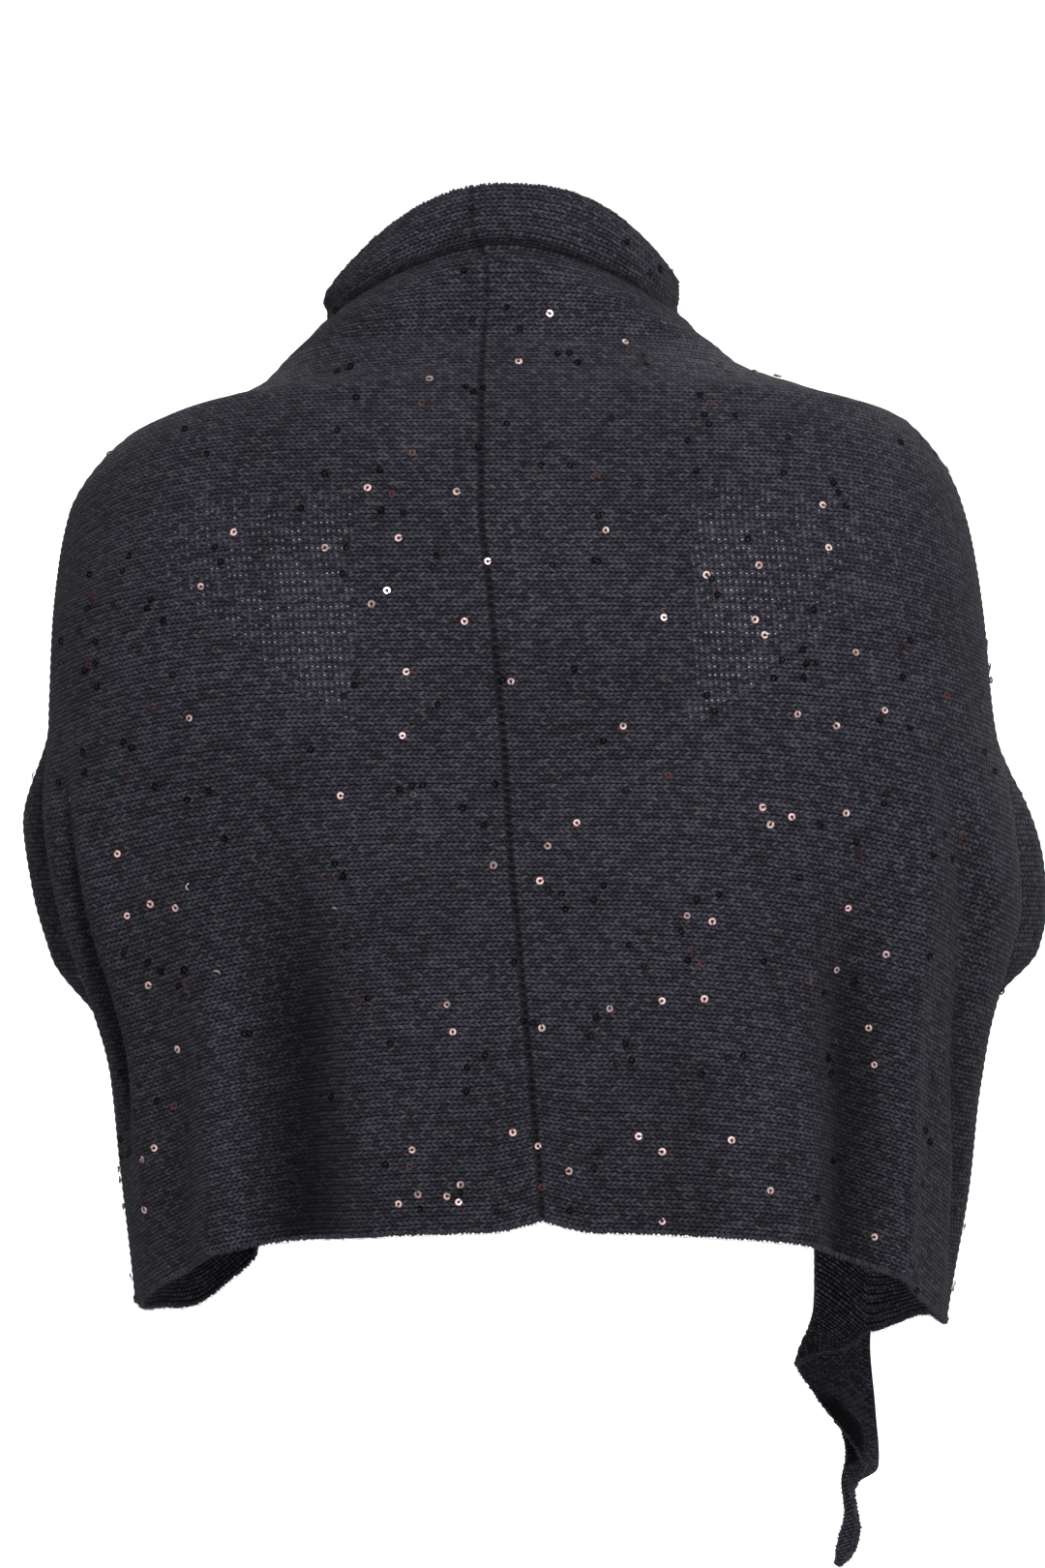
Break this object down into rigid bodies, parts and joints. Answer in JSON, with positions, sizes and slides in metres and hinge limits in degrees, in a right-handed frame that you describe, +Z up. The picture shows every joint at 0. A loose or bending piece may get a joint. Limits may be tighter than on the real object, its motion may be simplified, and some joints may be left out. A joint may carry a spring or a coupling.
{
  "type": "knitted poncho",
  "caption": "Worn, hollow knitted poncho: two sideways-knitted panels seamed down the back, with a grown-on slouching stand collar and a right front that falls in a folded tail.",
  "frame": {"origin": "base of the neck, midway between the shoulders, where the wearer's neck and shoulders hold the poncho", "axes": "+Z up, +Y from the back towards the front, +X to the wearer's right"},
  "size_m": [0.5325, 0.2699, 0.7207],
  "materials": {
    "knit": "matt dark charcoal and navy knitted yarn, stocking stitch knitted sideways",
    "sequins": "glossy ring sequins, a few pale copper ones and many black ones"
  },
  "bodies": {
    "root": {"collar_left": "knit", "collar_right": "knit", "back_left": "knit", "back_right": "knit", "front_left": "knit", "front_right": "knit", "tail_right": "knit"}
  },
  "joints": []
}
